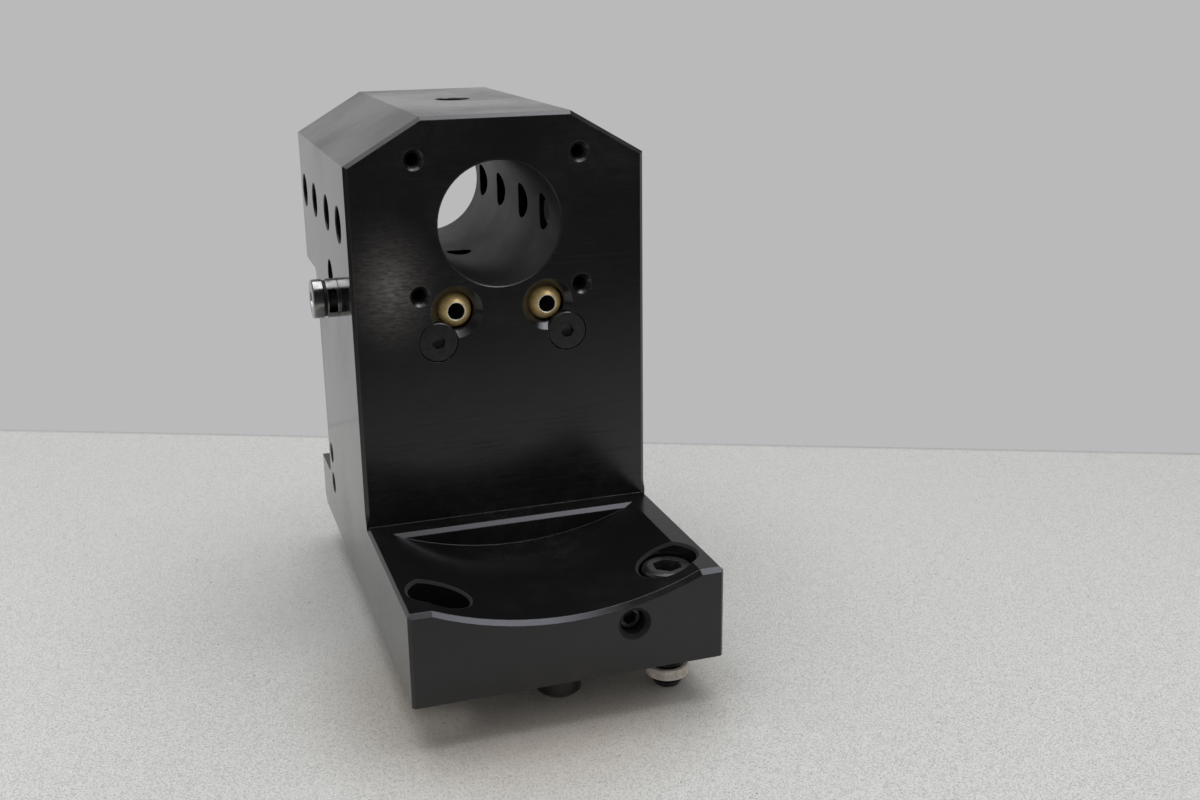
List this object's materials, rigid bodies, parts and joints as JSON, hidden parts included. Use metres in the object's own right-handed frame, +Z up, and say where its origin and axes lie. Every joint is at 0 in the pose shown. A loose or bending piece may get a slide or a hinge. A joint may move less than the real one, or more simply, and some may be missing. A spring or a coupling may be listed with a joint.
{
  "type": "combination tool holder",
  "caption": "Angled steel turret tool block with a clamped cylindrical tool bore, ball coolant nozzles, a swivelling side jet and bolt-down flanges.",
  "frame": {"origin": "axis of the front locating pin, in the seat face under the block", "axes": "+Z up from the seat face, +Y back along the tool bore, +X to the right seen from the front"},
  "size_m": [0.105, 0.182, 0.1748],
  "materials": {
    "black_steel": "satin",
    "screw_steel": "satin",
    "bright_steel": "satin",
    "ball_brass": "polished",
    "ring_plastic": "matte",
    "seal_rubber": "matte"
  },
  "bodies": {
    "holder": {"holder_block": "black_steel", "locating_pin_front": "black_steel", "locating_pin_rear": "black_steel", "coolant_inlet_seal": "seal_rubber", "gallery_plug": "screw_steel", "port_plug": "screw_steel", "side_jet_screw": "bright_steel", "side_jet_washer": "seal_rubber"},
    "bar_clamp_screw_left_1": {"bar_clamp_screw_left_1": "screw_steel"},
    "bar_clamp_screw_left_2": {"bar_clamp_screw_left_2": "screw_steel"},
    "bar_clamp_screw_left_3": {"bar_clamp_screw_left_3": "screw_steel"},
    "bar_clamp_screw_left_4": {"bar_clamp_screw_left_4": "screw_steel"},
    "bar_clamp_screw_right_1": {"bar_clamp_screw_right_1": "screw_steel"},
    "bar_clamp_screw_right_2": {"bar_clamp_screw_right_2": "screw_steel"},
    "bar_clamp_screw_right_3": {"bar_clamp_screw_right_3": "screw_steel"},
    "bar_clamp_screw_right_4": {"bar_clamp_screw_right_4": "screw_steel"},
    "bar_clamp_screw_top": {"bar_clamp_screw_top": "screw_steel"},
    "ball_seat_ring_left": {"ball_seat_ring_left": "ball_brass"},
    "coolant_ball_left": {"coolant_ball_left": "ball_brass"},
    "ball_clamp_screw_left": {"ball_clamp_screw_left": "screw_steel"},
    "ball_seat_ring_right": {"ball_seat_ring_right": "ball_brass"},
    "coolant_ball_right": {"coolant_ball_right": "ball_brass"},
    "ball_clamp_screw_right": {"ball_clamp_screw_right": "screw_steel"},
    "side_jet_ring": {"side_jet_ring": "bright_steel"},
    "mounting_bolt_front_right": {"mounting_bolt_front_right": "screw_steel", "bolt_retaining_ring_front_right": "ring_plastic"},
    "mounting_bolt_rear_left": {"mounting_bolt_rear_left": "screw_steel", "bolt_retaining_ring_rear_left": "ring_plastic"},
    "mounting_bolt_rear_right": {"mounting_bolt_rear_right": "screw_steel", "bolt_retaining_ring_rear_right": "ring_plastic"},
    "flange_adjusting_screw": {"flange_adjusting_screw": "screw_steel"}
  },
  "joints": [
    {"name": "bar_clamp_screw_left_1_feed", "type": "slide", "parent": "holder", "child": "bar_clamp_screw_left_1", "axis": [1, 0, 0], "range_m": [-0.0073, 0.007]},
    {"name": "bar_clamp_screw_left_2_feed", "type": "slide", "parent": "holder", "child": "bar_clamp_screw_left_2", "axis": [1, 0, 0], "range_m": [-0.0073, 0.007]},
    {"name": "bar_clamp_screw_left_3_feed", "type": "slide", "parent": "holder", "child": "bar_clamp_screw_left_3", "axis": [1, 0, 0], "range_m": [-0.0073, 0.007]},
    {"name": "bar_clamp_screw_left_4_feed", "type": "slide", "parent": "holder", "child": "bar_clamp_screw_left_4", "axis": [1, 0, 0], "range_m": [-0.0013, 0.013]},
    {"name": "bar_clamp_screw_right_1_feed", "type": "slide", "parent": "holder", "child": "bar_clamp_screw_right_1", "axis": [-1, 0, 0], "range_m": [-0.0073, 0.007]},
    {"name": "bar_clamp_screw_right_2_feed", "type": "slide", "parent": "holder", "child": "bar_clamp_screw_right_2", "axis": [-1, 0, 0], "range_m": [-0.0013, 0.013]},
    {"name": "bar_clamp_screw_right_3_feed", "type": "slide", "parent": "holder", "child": "bar_clamp_screw_right_3", "axis": [-1, 0, 0], "range_m": [-0.0013, 0.013]},
    {"name": "bar_clamp_screw_right_4_feed", "type": "slide", "parent": "holder", "child": "bar_clamp_screw_right_4", "axis": [-1, 0, 0], "range_m": [-0.0013, 0.013]},
    {"name": "bar_clamp_screw_top_feed", "type": "slide", "parent": "holder", "child": "bar_clamp_screw_top", "axis": [0, 0, -1], "range_m": [-0.0015, 0.0068]},
    {"name": "coolant_ball_left_turn", "type": "hinge", "parent": "holder", "child": "ball_seat_ring_left", "pos_m": [-0.0151, 0.0594, 0.0987], "axis": [0, -1, 0], "continuous": true},
    {"name": "coolant_ball_left_tilt", "type": "hinge", "parent": "ball_seat_ring_left", "child": "coolant_ball_left", "pos_m": [-0.0151, 0.0594, 0.0987], "axis": [1, 0, 0], "range_deg": [-15, 15]},
    {"name": "ball_clamp_screw_left_feed", "type": "slide", "parent": "holder", "child": "ball_clamp_screw_left", "axis": [0, -1, 0], "range_m": [0, 0.002]},
    {"name": "coolant_ball_right_turn", "type": "hinge", "parent": "holder", "child": "ball_seat_ring_right", "pos_m": [0.0151, 0.0594, 0.0987], "axis": [0, -1, 0], "continuous": true},
    {"name": "coolant_ball_right_tilt", "type": "hinge", "parent": "ball_seat_ring_right", "child": "coolant_ball_right", "pos_m": [0.0151, 0.0594, 0.0987], "axis": [1, 0, 0], "range_deg": [-15, 15]},
    {"name": "ball_clamp_screw_right_feed", "type": "slide", "parent": "holder", "child": "ball_clamp_screw_right", "axis": [0, -1, 0], "range_m": [0, 0.002]},
    {"name": "side_jet_ring_turn", "type": "hinge", "parent": "holder", "child": "side_jet_ring", "pos_m": [-0.0503, 0.086, 0.0995], "axis": [-1, 0, 0], "continuous": true},
    {"name": "mounting_bolt_front_right_turn", "type": "hinge", "parent": "holder", "child": "mounting_bolt_front_right", "pos_m": [0.036, 0, 0], "axis": [0, 0, 1], "continuous": true},
    {"name": "mounting_bolt_rear_left_turn", "type": "hinge", "parent": "holder", "child": "mounting_bolt_rear_left", "pos_m": [-0.036, 0.151, 0], "axis": [0, 0, 1], "continuous": true},
    {"name": "mounting_bolt_rear_right_turn", "type": "hinge", "parent": "holder", "child": "mounting_bolt_rear_right", "pos_m": [0.036, 0.151, 0], "axis": [0, 0, 1], "continuous": true},
    {"name": "flange_adjusting_screw_feed", "type": "slide", "parent": "holder", "child": "flange_adjusting_screw", "axis": [0, 1, 0], "range_m": [-0.0045, 0.008]}
  ]
}
